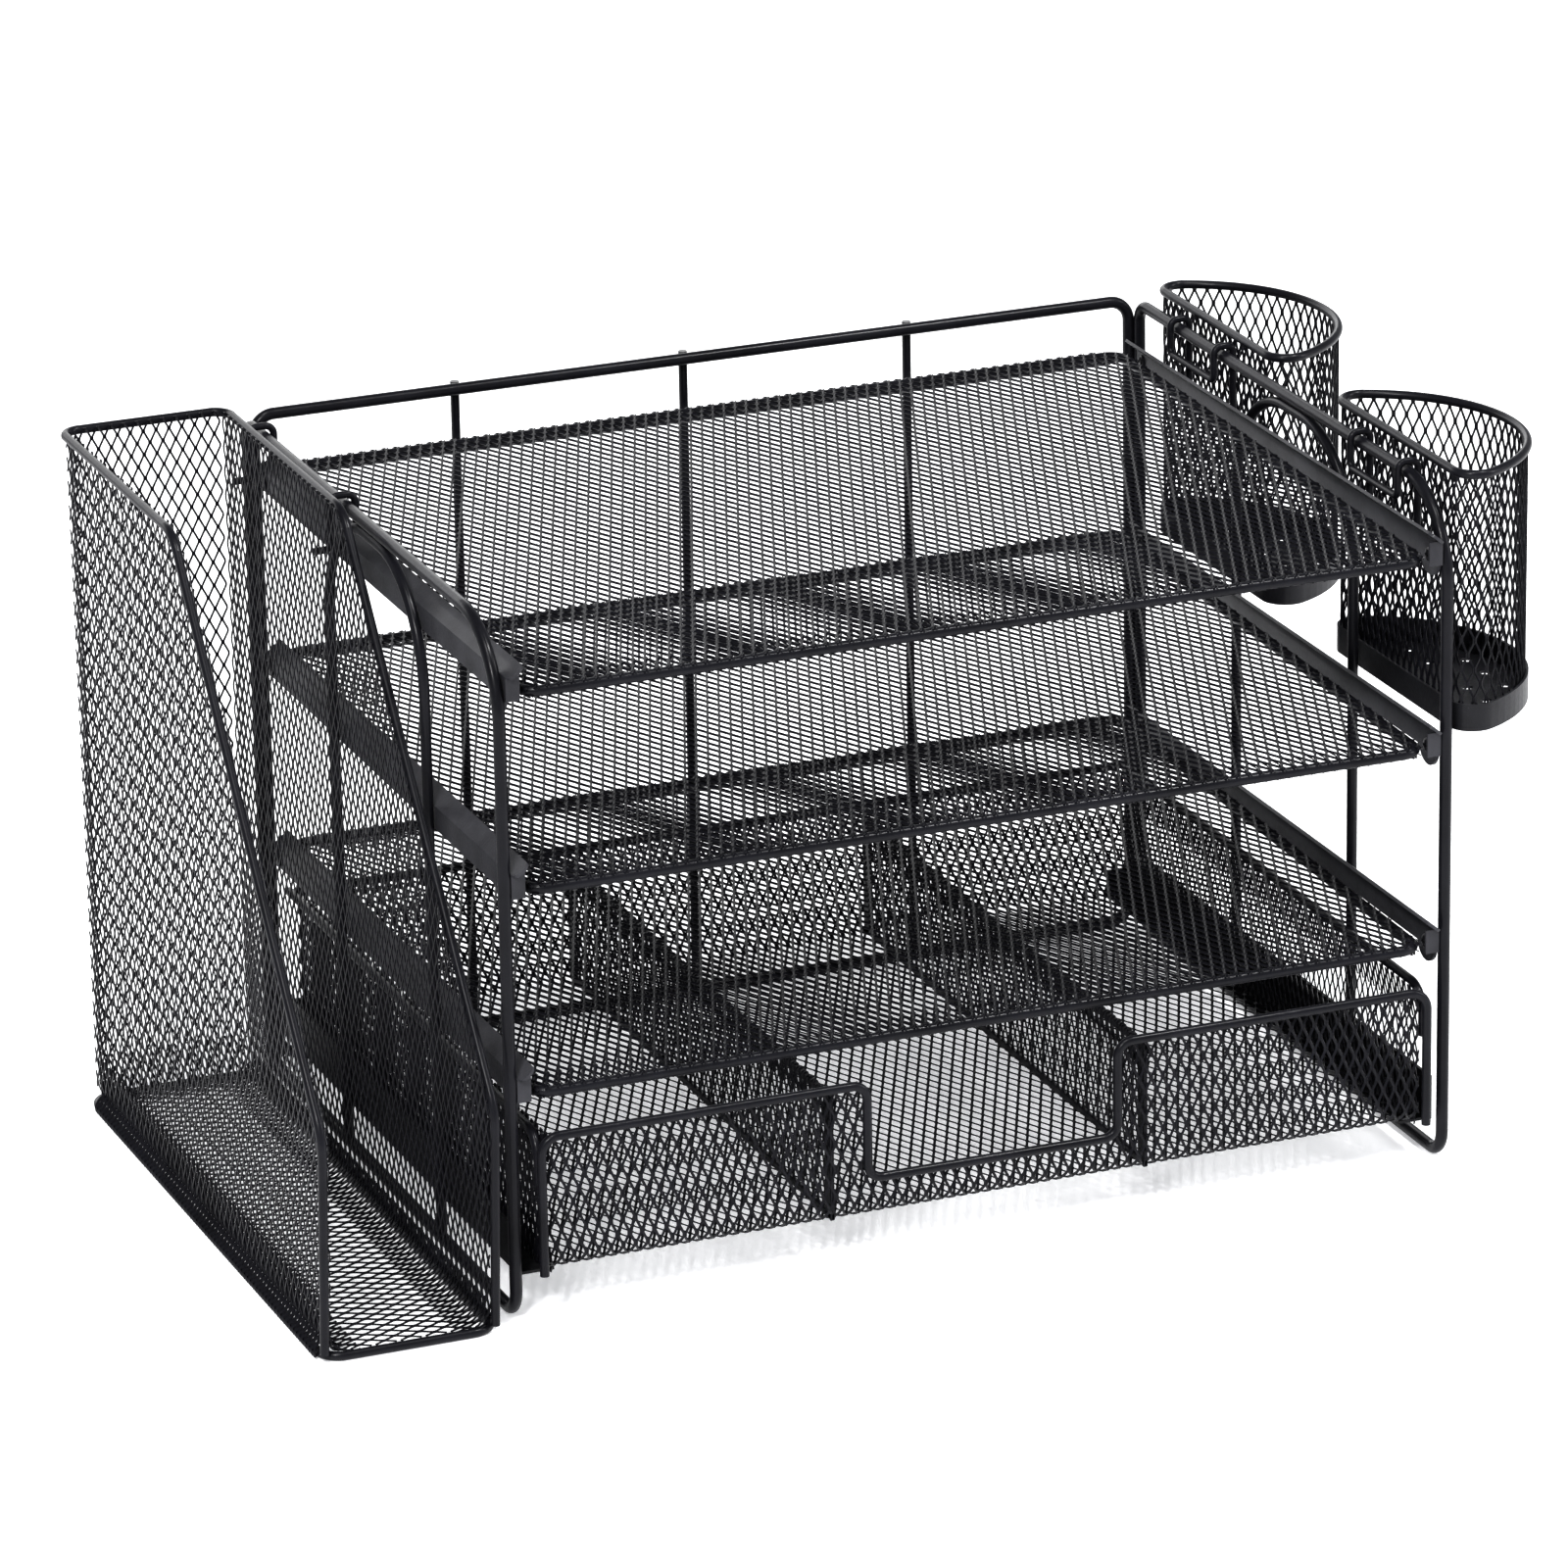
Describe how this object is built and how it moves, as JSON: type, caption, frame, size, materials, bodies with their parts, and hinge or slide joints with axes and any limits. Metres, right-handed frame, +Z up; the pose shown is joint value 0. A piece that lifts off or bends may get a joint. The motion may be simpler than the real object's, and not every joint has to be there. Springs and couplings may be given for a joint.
{
  "type": "desk organizer",
  "caption": "Black wire and mesh desk organizer with letter trays, a sliding divided drawer, a hang-on file holder and hang-on pen cups.",
  "frame": {"origin": "under the middle of the whole object's bounding box, on the desk surface", "axes": "+X to the organizer's right along its width, +Y to the back, +Z up; the drawer opens towards -Y"},
  "size_m": [0.4337, 0.2582, 0.235],
  "materials": {
    "frame_wire": "satin black powder coat",
    "tray_wire": "satin black powder coat",
    "tray_mesh": "satin black powder coat",
    "tray_rail": "satin black powder coat",
    "rivet": "semi-gloss black",
    "drawer_guide": "satin black powder coat",
    "drawer_wire": "satin black powder coat",
    "drawer_mesh": "satin black powder coat",
    "holder_wire": "satin black powder coat",
    "holder_mesh": "satin black powder coat",
    "cup_wire": "satin black powder coat",
    "cup_mesh": "satin black powder coat",
    "cup_pan": "satin black powder coat"
  },
  "bodies": {
    "frame": {"side_frame_left": "frame_wire", "side_frame_right": "frame_wire", "side_arch_left": "frame_wire", "side_arch_right": "frame_wire", "back_frame": "frame_wire", "back_bar_left": "frame_wire", "back_bar_middle": "frame_wire", "back_bar_right": "frame_wire", "tray_top_rim": "tray_wire", "tray_top_mesh": "tray_mesh", "tray_top_rail_left": "tray_rail", "tray_top_rail_right": "tray_rail", "tray_mid_rim": "tray_wire", "tray_mid_mesh": "tray_mesh", "tray_mid_rail_left": "tray_rail", "tray_mid_rail_right": "tray_rail", "tray_low_rim": "tray_wire", "tray_low_mesh": "tray_mesh", "tray_low_rail_left": "tray_rail", "tray_low_rail_right": "tray_rail", "tray_rivets_left": "rivet", "tray_rivets_right": "rivet", "drawer_guide_left": "drawer_guide", "drawer_guide_right": "drawer_guide"},
    "drawer": {"drawer_front_wire": "drawer_wire", "drawer_rim_left": "drawer_wire", "drawer_rim_right": "drawer_wire", "drawer_rim_back": "drawer_wire", "drawer_floor": "drawer_mesh", "drawer_front": "drawer_mesh", "drawer_back": "drawer_mesh", "drawer_side_left": "drawer_mesh", "drawer_side_right": "drawer_mesh", "drawer_divider_left": "drawer_mesh", "drawer_divider_right": "drawer_mesh"},
    "file_holder": {"holder_rim": "holder_wire", "holder_foot": "holder_wire", "holder_side_left": "holder_mesh", "holder_side_right": "holder_mesh", "holder_back": "holder_mesh", "holder_floor": "holder_mesh", "holder_hook_rear": "holder_wire", "holder_hook_front": "holder_wire"},
    "rear_cup": {"rear_cup_rim": "cup_wire", "rear_cup_wall": "cup_mesh", "rear_cup_pan": "cup_pan", "rear_cup_hook": "cup_wire"},
    "front_cup": {"front_cup_rim": "cup_wire", "front_cup_wall": "cup_mesh", "front_cup_pan": "cup_pan", "front_cup_hook": "cup_wire"}
  },
  "joints": [
    {"name": "drawer_slide", "type": "slide", "parent": "frame", "child": "drawer", "axis": [0, -1, 0], "range_m": [0, 0.19]},
    {"name": "file_holder_lift", "type": "slide", "parent": "frame", "child": "file_holder", "axis": [0, 0, 1], "range_m": [0, 0.05]},
    {"name": "rear_cup_lift", "type": "slide", "parent": "frame", "child": "rear_cup", "axis": [0, 0, 1], "range_m": [0, 0.05]},
    {"name": "front_cup_lift", "type": "slide", "parent": "frame", "child": "front_cup", "axis": [0, 0, 1], "range_m": [0, 0.05]}
  ]
}
